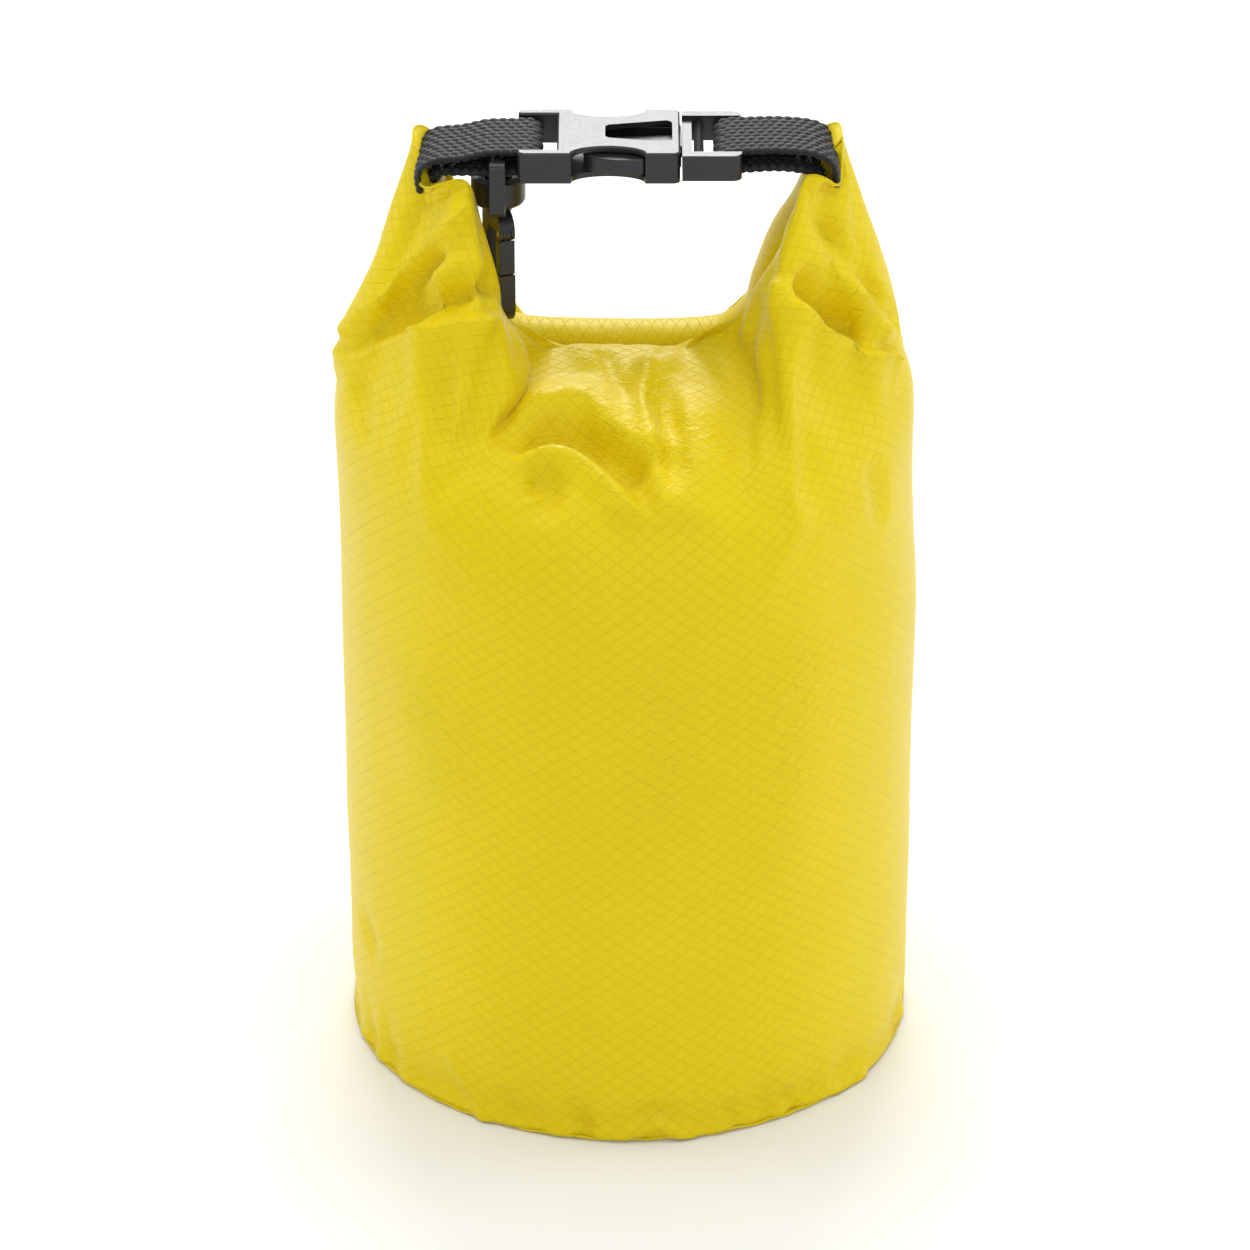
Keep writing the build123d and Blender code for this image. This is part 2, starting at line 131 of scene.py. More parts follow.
# The mouth's edge once it is rolled and buckled, front and back, from left to right, in millimetres
FRONT_RIM = [
    (-62.5, 0, 284), (-60, -8, 275), (-54, -13, 278), (-47, -13, 279.5), (-42, -12.5, 264),
    (-37.5, -12.5, 246), (-36, -11.5, 235), (-30, -10, 231.5), (-23.5, -5, 224.5), (-19, -1, 220.5),
    (0, 1, 220), (15, -1, 220.5), (20, -5, 226), (27, -8, 231.5), (35, -10, 237), (41, -12, 247),
    (46, -13, 264), (51, -13, 281), (56.5, -12, 279.5), (60.5, -8, 275), (61.5, 0, 286),
]
BACK_RIM = [
    (-62.5, 0, 284), (-62, 9, 287), (-57, 14, 283), (-50, 17, 262), (-45, 20, 238),
    (-34, 23, 220), (-15, 23, 211), (0, 23, 210), (15, 23, 211), (34, 23, 221),
    (46, 20, 240), (51, 17, 262), (55, 14, 283), (60.5, 9, 288), (61.5, 0, 287),
]


def rim_targets():
    """Where each point of the tube's top edge ends up once the mouth is rolled and buckled."""
    half = AROUND // 2
    front = smooth_curve(FRONT_RIM, half + 1) * MM
    back = smooth_curve(BACK_RIM, half + 1) * MM
    # Column 0 is at +X, and the columns go round by +Y, -X and -Y
    return np.concatenate([back[:0:-1], front[:half]])


# Height, half width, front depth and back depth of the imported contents, in millimetres
PACKED = [
    (1.2, 66, 66, 66), (1.6, 74, 74, 74), (3.2, 78.5, 78.5, 78.5), (7, 81.2, 81.2, 81.2),
    (14, 82.6, 82.6, 82.6), (60, 83.4, 83.2, 83.2), (110, 83.6, 83.4, 83.4), (150, 84.0, 83.2, 82.0),
    (172, 84.6, 81.5, 78), (190, 85.2, 76, 65), (202, 85.6, 66, 48), (211, 85.2, 48, 33),
    (217, 81.5, 29, 20), (220, 68, 12, 12),
]


def contents():
    """Packed contents that the fabric lies over: round below, drawn flat towards the mouth."""
    rings, segs = 64, 128
    curve = smooth_curve([(z, a, f) for z, a, f, _ in PACKED], rings)
    back = np.interp(curve[:, 0], [p[0] for p in PACKED], [p[3] for p in PACKED])
    verts = []
    for (z, wide, front), rear in zip(curve, back):
        flat = np.clip((z - 150) / 65, 0, 1)
        power = 1 - 0.25 * flat
        for k in range(segs):
            a = 2 * math.pi * k / segs
            c, s = math.cos(a), math.sin(a)
            x = wide * np.sign(c) * abs(c) ** power
            y = (rear if s > 0 else front) * np.sign(s) * abs(s) ** (1 + 0.35 * flat)
            verts.append((x * MM, y * MM, z * MM))
    faces = [
        (i * segs + k, i * segs + (k + 1) % segs, (i + 1) * segs + (k + 1) % segs, (i + 1) * segs + k)
        for i in range(rings - 1) for k in range(segs)
    ]
    faces.append(tuple(range((rings - 1) * segs, rings * segs)))
    return new_object("packed_contents", verts, faces)


def cut_length(angle):
    """Length of fabric from the base seam to the mouth's edge, round the tube."""
    s = math.sin(angle)
    goal = BACK_LENGTH if s > 0 else FRONT_LENGTH
    return SIDE_LENGTH + (goal - SIDE_LENGTH) * abs(s) ** 1.6


def tube():
    """Open tube of fabric, with its flat cut kept as a UV map in metres."""
    verts, faces = [], []
    for j in range(UP + 1):
        for i in range(AROUND):
            a = 2 * math.pi * i / AROUND
            z = TUBE_LOW + cut_length(a) * j / UP
            verts.append((RADIUS * math.cos(a), RADIUS * math.sin(a), z))
    for j in range(UP):
        for i in range(AROUND):
            k = (i + 1) % AROUND
            faces.append((j * AROUND + i, j * AROUND + k, (j + 1) * AROUND + k, (j + 1) * AROUND + i))
    piece = new_object("bag_skin", verts, faces)
    layer = piece.data.uv_layers.new(name="cut")
    girth = 2 * math.pi * RADIUS
    uv = []
    for j in range(UP):
        for i in range(AROUND):
            for col, row in ((i, j), (i + 1, j), (i + 1, j + 1), (i, j + 1)):
                length = cut_length(2 * math.pi * col / AROUND)
                uv.append((girth * col / AROUND, length * row / UP))
    layer.data.foreach_set("uv", np.array(uv, np.float32).ravel())
    return piece


# Frames of the settling: the mouth is drawn flat, then into its buckled shape, then left to settle
START_FRAME, FLAT_FRAME, BUCKLED_FRAME, LAST_FRAME = 1, 18, 36, 52


def close_mouth(piece, stuffing):
    """Draw the tube's top edge into the buckled shape and let the fabric settle over the contents."""
    base = np.array([v.co for v in piece.data.vertices])
    target = rim_targets()
    flat = np.zeros((AROUND, 3))
    for i in range(AROUND):
        a = 2 * math.pi * i / AROUND
        c, s = math.cos(a), math.sin(a)
        flat[i] = (0.115 * c, 0.006 * np.sign(s) * abs(s) ** 0.3 + 0.008, TUBE_LOW + cut_length(a) - 0.012)
    piece.shape_key_add(name="open")
    stages = []
    for name, rim in (("flat", flat), ("buckled", target)):
        key = piece.shape_key_add(name=name)
        moved = base.copy()
        moved[-AROUND:] = rim
        moved[:AROUND, :2] *= BASE_EDGE
        moved[:AROUND, 2] = 0.0012
        key.data.foreach_set("co", moved.ravel())
        stages.append(key)
    first, second = stages
    for key, values in ((first, (0.0, 1.0, 0.0)), (second, (0.0, 0.0, 1.0))):
        for frame_at, value in zip((START_FRAME, FLAT_FRAME, BUCKLED_FRAME), values):
            key.value = value
            key.keyframe_insert("value", frame=frame_at)
    pins = piece.vertex_groups.new(name="pins")
    count = len(base)
    pins.add(list(range(AROUND)), 1.0, "REPLACE")
    pins.add(list(range(count - AROUND, count)), 1.0, "REPLACE")
    stuffing.modifiers.new("hard", "COLLISION")
    stuffing.collision.thickness_outer = 0.0008
    stuffing.collision.cloth_friction = 8
    cloth = piece.modifiers.new("cloth", "CLOTH")
    s = cloth.settings
    s.quality = 5
    s.mass = 0.08
    s.tension_stiffness = 25
    s.compression_stiffness = 25
    s.shear_stiffness = 12
    s.bending_stiffness = 0.35
    s.tension_damping = 8
    s.compression_damping = 8
    s.shear_damping = 8
    s.bending_damping = 0.6
    s.air_damping = 2
    s.vertex_group_mass = "pins"
    s.pin_stiffness = 1
    s.use_pressure = True
    s.uniform_pressure_force = 0.4
    s.effector_weights.gravity = 1.0
    c = cloth.collision_settings
    c.use_collision = True
    c.distance_min = 0.0006
    c.collision_quality = 2
    c.use_self_collision = False
    cloth.point_cache.frame_start = START_FRAME
    cloth.point_cache.frame_end = LAST_FRAME
    scene = bpy.context.scene
    scene.frame_start, scene.frame_end = START_FRAME, LAST_FRAME
    for f in range(START_FRAME, LAST_FRAME + 1):
        scene.frame_set(f)
    return apply_modifiers(piece)



# ---------------------------------------------------------------- fabric pieces made from the skin


def skin_grid(piece):
    """The tube's points as rows up from the base, before any subdivision."""
    co = np.array([v.co for v in piece.data.vertices])
    return co.reshape(UP + 1, AROUND, 3)


def grid_piece(name, rows, closed=False):
    """Surface through a grid of points."""
    rows = np.asarray(rows, float)
    n, m = rows.shape[:2]
    faces = []
    last = m if closed else m - 1
    for j in range(n - 1):
        for i in range(last):
            k = (i + 1) % m
            faces.append((j * m + i, j * m + k, (j + 1) * m + k, (j + 1) * m + i))
    return new_object(name, rows.reshape(-1, 3), faces)


def cut_map(piece, rows, cols, width, length):
    """UV map in metres for a grid piece."""
    layer = piece.data.uv_layers.new(name="cut")
    uv = []
    for j in range(rows - 1):
        for i in range(cols - 1):
            for a, b in ((i, j), (i + 1, j), (i + 1, j + 1), (i, j + 1)):
                uv.append((width * a / (cols - 1), length * b / (rows - 1)))
    layer.data.foreach_set("uv", np.array(uv, np.float32).ravel())


def subdivide(piece):
    mod = piece.modifiers.new("smooth", "SUBSURF")
    mod.levels = mod.render_levels = 1
    mod.boundary_smooth = "PRESERVE_CORNERS"
    return apply_modifiers(piece)


def thicken(piece, thickness, offset):
    """Give a sheet its thickness: inwards for an offset of -1, to both sides for 0."""
    mod = piece.modifiers.new("thickness", "SOLIDIFY")
    mod.thickness = thickness
    mod.offset = offset
    mod.use_even_offset = False
    return apply_modifiers(piece)


# Middle line of the rolled mouth from its left end to its right one, in millimetres
ROLL_PATH = [
    (-57, 1, 277), (-56, 3, 262), (-54, 8, 245), (-47, 12, 228), (-34, 14, 219.5), (-17, 14, 217.8),
    (0, 14, 217.4), (17, 14, 217.8), (30, 13, 220.5), (37.5, 11, 229), (40.5, 8, 241), (45, 5, 255),
    (51, 2, 267), (55, 1, 278),
]


def path_frames(path):
    """Across a path: the direction nearest to +Y, and the one square to it and to the path."""
    tangent = np.gradient(path, axis=0)
    tangent /= np.linalg.norm(tangent, axis=1, keepdims=True)
    depth = np.zeros_like(path)
    depth[:, 1] = 1.0
    depth -= tangent * (depth * tangent).sum(1, keepdims=True)
    depth /= np.linalg.norm(depth, axis=1, keepdims=True)
    return depth, np.cross(tangent, depth)


def rolled_mouth():
    """Mouth rolled two and a half turns about its stiffener, its ends turned up into the ears."""
    count, turns, per_turn, first_turn = 150, 2.5, 30, 4.05
    path = smooth_curve(ROLL_PATH, count) * MM
    depth, third = path_frames(path)
    steps = int(turns * per_turn)
    rows = []
    for n in range(count):
        s = abs(2 * n / (count - 1) - 1)
        end = max(0.0, (s - 0.55) / 0.45)
        half_deep = 8.8 + 2.2 * end
        half_thin = 4.6 - 0.8 * end
        ring = []
        for k in range(steps + 1):
            a = 2 * math.pi * k / per_turn
            grow = 0.40 + 0.60 * k / steps
            slack = 1 + 0.05 * noise.noise(Vector((n * 0.09, k * 0.21, 3.0)))
            slack += 0.02 * noise.noise(Vector((n * 0.3, k * 0.5, 9.0)))
            d = half_deep * grow * slack * math.cos(a + first_turn)
            t = half_thin * grow * slack * math.sin(a + first_turn)
            ring.append(path[n] + depth[n] * d * MM - third[n] * t * MM)
        rows.append(ring)
    piece = grid_piece("mouth_roll", rows)
    cut_map(piece, count, steps + 1, 0.078, 0.241)
    return piece


def pressed_on_roll(point, path, weight):
    """Point of the tuck, moved out of the carrying loop onto the roll's middle line near the ears."""
    weight *= min(1.0, max(0.0, (abs(point[0]) - 0.030) / 0.008))
    apart = path[:, [0, 2]] - point[[0, 2]]
    nearest = apart[np.argmin((apart ** 2).sum(1))]
    outward = nearest[0] * math.copysign(1.0, point[0]) - nearest[1]
    if outward <= 0:
        return point
    return point + weight * np.array([nearest[0], 0, nearest[1]])


def tucked_mouth():
    """Fabric tucked from the front edge of the mouth down to the roll and up to the back edge."""
    half = AROUND // 2
    front = smooth_curve(FRONT_RIM, half + 1) * MM
    back = smooth_curve(BACK_RIM, half + 1) * MM
    middle = smooth_curve(ROLL_PATH, half + 1) * MM
    rows = []
    across = 25
    for n in range(half + 1):
        ring = []
        for k in range(across):
            t = k / (across - 1)
            pull = (4 * t * (1 - t)) ** 1.2
            p = front[n] * (1 - t) + back[n] * t
            p = p * (1 - pull * 0.85) + middle[n] * pull * 0.85
            p = p - np.array([0, 0, 0.0016 * pull])
            ring.append(pressed_on_roll(p, middle, min(1.0, t * 24, (1 - t) * 24)))
        rows.append(ring)
    piece = grid_piece("mouth_tuck", rows)
    cut_map(piece, half + 1, across, 0.03, 0.265)
    return piece


def base_disc():
    """Round base, welded to the tube at its rim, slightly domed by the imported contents."""
    rings, segs = 40, AROUND
    radius = RADIUS * BASE_EDGE * BASE_PANEL_EDGE
    rows = []
    for r in range(rings + 1):
        t = r / rings
        ring = []
        for k in range(segs):
            a = 2 * math.pi * k / segs
            x, y = radius * t * math.cos(a), radius * t * math.sin(a)
            pucker = max(0.0, t - 0.9) / 0.1
            z = 0.0010 + 0.0005 * noise.noise(Vector((x * 60, y * 60, 0.5))) * (1 - t * t)
            wave = math.sin(a * 46 + 3 * noise.noise(Vector((x * 40, y * 40, 2))))
            z += 0.0005 * pucker * (0.5 + 0.5 * wave)
            ring.append((x, y, max(0.0007, z)))
        rows.append(ring)
    piece = grid_piece("base_panel", rows, closed=True)
    piece.data.flip_normals()
    cut = piece.data.uv_layers.new(name="cut")
    co = np.array([v.co for v in piece.data.vertices])
    loops = np.zeros(len(piece.data.loops), np.int32)
    piece.data.loops.foreach_get("vertex_index", loops)
    cut.data.foreach_set("uv", co[loops, :2].astype(np.float32).ravel())
    return piece


def inner_strip(name, rows, gap):
    """Tape on the fabric's inner face."""
    piece = grid_piece(name, rows)
    mesh = piece.data
    middle = Vector((0, 0, 0.12))
    normals = [v.normal.copy() for v in mesh.vertices]
    for v, n in zip(mesh.vertices, normals):
        inward = -1 if n.dot(v.co - middle) > 0 else 1
        v.co += n * inward * gap
    return thicken(piece, TAPE_THICK, 0.0)


# ---------------------------------------------------------------- straps

# Webbing, in millimetres: rows of yarn across it, length of a yarn crown, half its width, half its
# thickness between the crowns, and the crowns' height
WEAVE_ROWS = 10
BUMP_PITCH = 2.7
STRAP_HALF = 12.35
STRAP_HALF_THICK = 0.58
CROWN_HEIGHT = 0.56


def woven_height(along, across):
    """Raised yarn crowns of coarse webbing, 0 to 1, from places in millimetres."""
    row_pitch = 2 * STRAP_HALF / WEAVE_ROWS
    row = math.floor((across + STRAP_HALF) / row_pitch)
    dy = (across + STRAP_HALF) / row_pitch - row - 0.5
    shift = 0.5 * (row % 2) + 0.12 * noise.noise(Vector((row * 3.1, along * 0.02, 0)))
    dx = along / BUMP_PITCH + shift + 0.22 * (1 - 4 * dy * dy)
    dx -= math.floor(dx) + 0.5
    round_up = 1 - (dx / 0.5) ** 2 * 0.92 - (abs(dy) / 0.5) ** 2.6 * 0.95
    return max(0.0, round_up) ** 0.9


def strap(name, path_points):
    """Coarse woven strap that follows a path in the X-Z plane, with real yarn crowns."""
    draft = smooth_curve(path_points, 400)
    length = np.linalg.norm(np.diff(draft, axis=0), axis=1).sum()
    count = int(length / 0.34)
    path = smooth_curve(path_points, count)
    tangent = np.gradient(path, axis=0)
    tangent /= np.linalg.norm(tangent, axis=1, keepdims=True)
    normal = np.stack([-tangent[:, 2], np.zeros(count), tangent[:, 0]], 1)
    across = np.linspace(-STRAP_HALF, STRAP_HALF, 75)
    rows, raised = [], []
    step = length / (count - 1)
    for n in range(count):
        ring, up = [], []
        wander = 0.12 * noise.noise(Vector((n * 0.03, 0, 7)))
        to_end = min(n, count - 1 - n) * step
        gathered = max(0.0, 1 - to_end / 16) ** 1.2
        narrow = 1 - 0.80 * gathered
        for face in (1, -1):
            for y in across[::face]:
                edge = max(0.0, (abs(y) / STRAP_HALF - 0.93) / 0.07)
                h = woven_height(n * step + (0 if face > 0 else 1.0), y)
                thick = STRAP_HALF_THICK * math.sqrt(max(0.05, 1 - 0.8 * edge * edge))
                thick += CROWN_HEIGHT * h * (1 - 0.5 * edge)
                edge_wave = 0.22 * math.sin(n * step / BUMP_PITCH * 2 * math.pi) * edge
                p = path[n] + normal[n] * face * thick
                place_y = (y + wander + math.copysign(edge_wave, y)) * narrow
                ring.append((p[0] * MM, place_y * MM, p[2] * MM))
                up.append(h)
        rows.append(ring)
        raised.append(up)
    piece = grid_piece(name, rows, closed=True)
    ends = bmesh.new()
    ends.from_mesh(piece.data)
    ends.verts.ensure_lookup_table()
    m = len(rows[0])
    half = m // 2
    for base in (0, (count - 1) * m):
        for k in range(half - 1):
            quad = [base + k, base + k + 1, base + m - 2 - k, base + m - 1 - k]
            if base == 0:
                quad.reverse()
            ends.faces.new([ends.verts[q] for q in quad])
    bmesh.ops.recalc_face_normals(ends, faces=ends.faces)
    ends.to_mesh(piece.data)
    ends.free()
    # Crown heights, 0 to 1, which the webbing material also uses to paint shade into the gaps
    mark = piece.data.attributes.new("raised", "FLOAT", "POINT")
    mark.data.foreach_set("value", np.array(raised, np.float32).ravel())
    piece.data.shade_smooth()
    return piece


# Each strap's middle line: out of its ear, along the top, round the buckle's bar and back underneath
LEFT_STRAP = [
    (-59.6, 0, 269), (-60.4, 0, 273), (-60.8, 0, 277.5), (-59.8, 0, 281.6), (-56, 0, 284.3),
    (-48, 0, 285.3), (-41.5, 0, 286.8), (-37.8, 0, 287.1), (-33, 0, 287.1), (-28.5, 0, 287.15),
    (-26.5, 0, 286.3), (-25.7, 0, 284.3), (-26.5, 0, 282.3), (-28.5, 0, 281.45), (-33, 0, 280.8),
    (-40, 0, 280.6), (-49, 0, 280.8), (-54.0, 0, 279.6), (-56.6, 0, 276), (-57.4, 0, 270),
]
RIGHT_STRAP = [
    (58.4, 0, 269), (59.4, 0, 273.5), (59.6, 0, 279), (58.2, 0, 283.4), (54, 0, 286.4), (44, 0, 287.7),
    (35, 0, 287.6), (28, 0, 287.15), (26.0, 0, 286.3), (25.2, 0, 284.3), (26.0, 0, 282.3),
    (28, 0, 281.45), (34, 0, 281.9), (42, 0, 282.3), (49, 0, 281.6), (53.4, 0, 279.6), (56.0, 0, 275),
    (56.4, 0, 269.5),
]


def bar_tack(name, x, z):
    """Zigzag thread that sews a strap's layers together, in two rows."""
    rise = 1.6
    curve = bpy.data.curves.new(name, "CURVE")
    curve.dimensions = "3D"
    curve.bevel_depth = 0.28 * MM
    curve.bevel_resolution = 2
    for row in (-1.6, 1.6):
        line = curve.splines.new("POLY")
        count = 44
        line.points.add(count - 1)
        for k in range(count):
            y = -10.5 + 21 * k / (count - 1)
            aside = x + row + 0.6 * (-1) ** k
            up = z + rise * (-1) ** (k // 2)
            line.points[k].co = (aside * MM, y * MM, up * MM, 1)
    holder = add_to_scene(name, curve)
    graph = bpy.context.evaluated_depsgraph_get()
    mesh = bpy.data.meshes.new_from_object(holder.evaluated_get(graph))
    bpy.data.objects.remove(holder)
    mesh.shade_smooth()
    return add_to_scene(name, mesh)


# ---------------------------------------------------------------- moulded plastic


def moulded(node, radius):
    """Copy of a CAD node with its edges rounded as a mould leaves them."""
    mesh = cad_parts[node].data.copy()
    mesh.materials.clear()
    shape = bmesh.new()
    shape.from_mesh(mesh)
    bmesh.ops.remove_doubles(shape, verts=shape.verts, dist=2e-6)
    bmesh.ops.dissolve_limit(shape, angle_limit=math.radians(1.0), verts=shape.verts, edges=shape.edges)
    bmesh.ops.recalc_face_normals(shape, faces=shape.faces)
    shape.to_mesh(mesh)
    shape.free()
    piece = add_to_scene(node + "_moulded", mesh)
    bevel = piece.modifiers.new("edges", "BEVEL")
    bevel.width = radius * MM
    bevel.segments = 3
    bevel.limit_method = "ANGLE"
    bevel.angle_limit = math.radians(32)
    bevel.use_clamp_overlap = True
    flat = piece.modifiers.new("faces", "WEIGHTED_NORMAL")
    flat.keep_sharp = True
    mesh.shade_smooth()
    return apply_modifiers(piece)


# ---------------------------------------------------------------- materials

# Heights of the fabric's fine relief, in metres: ripstop lines, threads, grain, and crinkles on folds
LINE_RELIEF = 0.00009
THREAD_RELIEF = 0.000012
GRAIN_RELIEF = 0.00010
CRINKLE_RELIEF = 0.0012
THREAD_PITCH = 0.00042


def node_group(name, inputs, outputs):
    group = bpy.data.node_groups.new(name, "ShaderNodeTree")
    for label, kind, value in inputs:
        socket = group.interface.new_socket(label, in_out="INPUT", socket_type=kind)
        if value is not None:
            socket.default_value = value
    for label, kind in outputs:
        group.interface.new_socket(label, in_out="OUTPUT", socket_type=kind)
    return group, group.nodes.new("NodeGroupInput"), group.nodes.new("NodeGroupOutput")


def maths(tree, operation, a, b=None, c=None):
    node = tree.nodes.new("ShaderNodeMath")
    node.operation = operation
    for socket, value in zip(node.inputs, (a, b, c)):
        if value is None:
            continue
        if isinstance(value, (int, float)):
            socket.default_value = value
        else:
            tree.links.new(value, socket)
    return node.outputs[0]


def ripstop_group():
    """Raised diamond grid and fine plain weave, on a flat cut measured in metres."""
    group, given, out = node_group(
        "ripstop_grid",
        [("Cut", "NodeSocketVector", None), ("Diamond Width", "NodeSocketFloat", 0.00617),
         ("Diamond Height", "NodeSocketFloat", 0.0045), ("Line", "NodeSocketFloat", 0.07)],
        [("Lines", "NodeSocketFloat"), ("Weave", "NodeSocketFloat")],
    )
    split = group.nodes.new("ShaderNodeSeparateXYZ")
    group.links.new(given.outputs["Cut"], split.inputs[0])
    u = maths(group, "DIVIDE", split.outputs[0], given.outputs["Diamond Width"])
    v = maths(group, "DIVIDE", split.outputs[1], given.outputs["Diamond Height"])
    edges = []
    for op in ("ADD", "SUBTRACT"):
        run = maths(group, op, u, v)
        gap = maths(group, "PINGPONG", run, 0.5)
        share = maths(group, "DIVIDE", gap, given.outputs["Line"])
        edges.append(maths(group, "SUBTRACT", 1.0, maths(group, "MINIMUM", share, 1.0)))
    lines = maths(group, "MAXIMUM", edges[0], edges[1])
    group.links.new(lines, out.inputs["Lines"])
    threads = []
    for axis in (0, 1):
        run = maths(group, "MULTIPLY", split.outputs[axis], 2 * math.pi / THREAD_PITCH)
        threads.append(maths(group, "SINE", run))
    group.links.new(maths(group, "MULTIPLY", threads[0], threads[1]), out.inputs["Weave"])
    return group


def mottle_group():
    """Soft unevenness of a surface at two scales."""
    group, given, out = node_group(
        "mottle",
        [("Place", "NodeSocketVector", None), ("Broad", "NodeSocketFloat", 30.0),
         ("Fine", "NodeSocketFloat", 900.0)],
        [("Broad", "NodeSocketFloat"), ("Fine", "NodeSocketFloat")],
    )
    for label, detail in (("Broad", 3), ("Fine", 4)):
        tex = group.nodes.new("ShaderNodeTexNoise")
        tex.inputs["Detail"].default_value = detail
        group.links.new(given.outputs["Place"], tex.inputs["Vector"])
        group.links.new(given.outputs[label], tex.inputs["Scale"])
        group.links.new(tex.outputs["Fac"], out.inputs[label])
    return group


def start_material(name):
    material = bpy.data.materials.new(name)
    material.use_nodes = True
    tree = material.node_tree
    return material, tree, tree.nodes["Principled BSDF"]


def placed(tree, group, **values):
    """Node of a group in a material, with its own values."""
    node = tree.nodes.new("ShaderNodeGroup")
    node.node_tree = group
    for key, value in values.items():
        node.inputs[key.replace("_", " ")].default_value = value
    return node


def blend_colours(tree, factor, a, b):
    mix = tree.nodes.new("ShaderNodeMix")
    mix.data_type = "RGBA"
    for socket, value in ((mix.inputs[0], factor), (mix.inputs[6], a), (mix.inputs[7], b)):
        if isinstance(value, (tuple, float)):
            socket.default_value = value
        else:
            tree.links.new(value, socket)
    return mix.outputs[2]


def add_bump(tree, shader, height):
    """Tilt a shader's normal by a height in metres."""
    bump = tree.nodes.new("ShaderNodeBump")
    bump.inputs["Distance"].default_value = 1.0
    bump.inputs["Strength"].default_value = 1.0
    tree.links.new(height, bump.inputs["Height"])
    tree.links.new(bump.outputs[0], shader.inputs["Normal"])


def coated_fabric(ripstop, mottle):
    """Yellow coated ripstop, crinkled finely where the fabric is folded."""
    material, tree, shader = start_material("coated_ripstop")
    place = tree.nodes.new("ShaderNodeTexCoord")
    cut = tree.nodes.new("ShaderNodeUVMap")
    cut.uv_map = "cut"
    grid = placed(tree, ripstop)
    tree.links.new(cut.outputs[0], grid.inputs["Cut"])
    uneven = placed(tree, mottle, Broad=24.0, Fine=700.0)
    tree.links.new(place.outputs["Object"], uneven.inputs["Place"])
    body = blend_colours(tree, uneven.outputs["Broad"], (0.76, 0.585, 0.004, 1), (0.81, 0.635, 0.007, 1))
    # Painted shade: the raised ripstop lines are painted a darker yellow, as their bump shading looks in the
    # middle of the bag
    painted_line_shade = maths(tree, "MULTIPLY", grid.outputs["Lines"], 0.24)
    colour = blend_colours(tree, painted_line_shade, body, (0.60, 0.45, 0.004, 1))
    tree.links.new(colour, shader.inputs["Base Color"])
    rough = maths(tree, "MULTIPLY_ADD", uneven.outputs["Fine"], 0.16, 0.33)
    tree.links.new(rough, shader.inputs["Roughness"])
    shader.inputs["Specular IOR Level"].default_value = 0.15
    shader.inputs["Sheen Weight"].default_value = 0.28
    shader.inputs["Sheen Roughness"].default_value = 0.22
    shader.inputs["Sheen Tint"].default_value = (1.0, 0.97, 0.75, 1)
    height = maths(tree, "MULTIPLY", grid.outputs["Lines"], LINE_RELIEF)
    height = maths(tree, "MULTIPLY_ADD", grid.outputs["Weave"], THREAD_RELIEF, height)
    height = maths(tree, "MULTIPLY_ADD", uneven.outputs["Fine"], GRAIN_RELIEF, height)
    bent = tree.nodes.new("ShaderNodeAttribute")
    bent.attribute_name = "crinkled"
    stretched = tree.nodes.new("ShaderNodeMapping")
    stretched.inputs["Scale"].default_value = (0.45, 0.6, 1.5)
    tree.links.new(place.outputs["Object"], stretched.inputs["Vector"])
    crinkles = placed(tree, mottle, Broad=420.0, Fine=900.0)
    tree.links.new(stretched.outputs[0], crinkles.inputs["Place"])
    ridged = maths(tree, "ABSOLUTE", maths(tree, "SUBTRACT", crinkles.outputs["Broad"], 0.5))
    deep = maths(tree, "MULTIPLY", maths(tree, "POWER", bent.outputs["Fac"], 1.4), CRINKLE_RELIEF)
    height = maths(tree, "MULTIPLY_ADD", ridged, deep, height)
    add_bump(tree, shader, height)
    return material


def woven_strap(mottle):
    """Coarse dark yarn, with painted shade that darkens the gaps between the crowns."""
    material, tree, shader = start_material("charcoal_webbing")
    place = tree.nodes.new("ShaderNodeTexCoord")
    uneven = placed(tree, mottle, Broad=300.0, Fine=3200.0)
    tree.links.new(place.outputs["Object"], uneven.inputs["Place"])
    raised = tree.nodes.new("ShaderNodeAttribute")
    raised.attribute_name = "raised"
    yarn = blend_colours(tree, uneven.outputs["Fine"], (0.014, 0.015, 0.016, 1), (0.046, 0.048, 0.051, 1))
    # Painted shade: where the crown height is low, between the crowns, the yarn colour is blended to near
    # black
    colour = blend_colours(tree, raised.outputs["Fac"], (0.008, 0.008, 0.010, 1), yarn)
    tree.links.new(colour, shader.inputs["Base Color"])
    rough = maths(tree, "MULTIPLY_ADD", uneven.outputs["Fine"], 0.25, 0.45)
    tree.links.new(rough, shader.inputs["Roughness"])
    shader.inputs["Specular IOR Level"].default_value = 0.28
    shader.inputs["Sheen Weight"].default_value = 0.08
    shader.inputs["Sheen Roughness"].default_value = 0.4
    add_bump(tree, shader, maths(tree, "MULTIPLY", uneven.outputs["Fine"], 0.00012))
    return material


def plain_surface(name, mottle, dark, light, rough, rough_range, grain, metallic=0.0):
    """Material of one colour, slightly uneven, with a fine grain whose height is in metres."""
    material, tree, shader = start_material(name)
    place = tree.nodes.new("ShaderNodeTexCoord")
    uneven = placed(tree, mottle, Broad=90.0, Fine=1600.0)
    tree.links.new(place.outputs["Object"], uneven.inputs["Place"])
    colour = blend_colours(tree, uneven.outputs["Broad"], (*dark, 1), (*light, 1))
    tree.links.new(colour, shader.inputs["Base Color"])
    shader.inputs["Metallic"].default_value = metallic
    varied = maths(tree, "MULTIPLY_ADD", uneven.outputs["Fine"], rough_range, rough)
    tree.links.new(varied, shader.inputs["Roughness"])
    add_bump(tree, shader, maths(tree, "MULTIPLY", uneven.outputs["Fine"], grain))
    return material


def dress(piece, material, body=None):
    """Give a piece its material, and the body it rides on when one is given."""
    piece.data.materials.clear()
    piece.data.materials.append(material)
    if body:
        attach(piece, body)
    return piece


# ---------------------------------------------------------------- creases pressed into the settled fabric


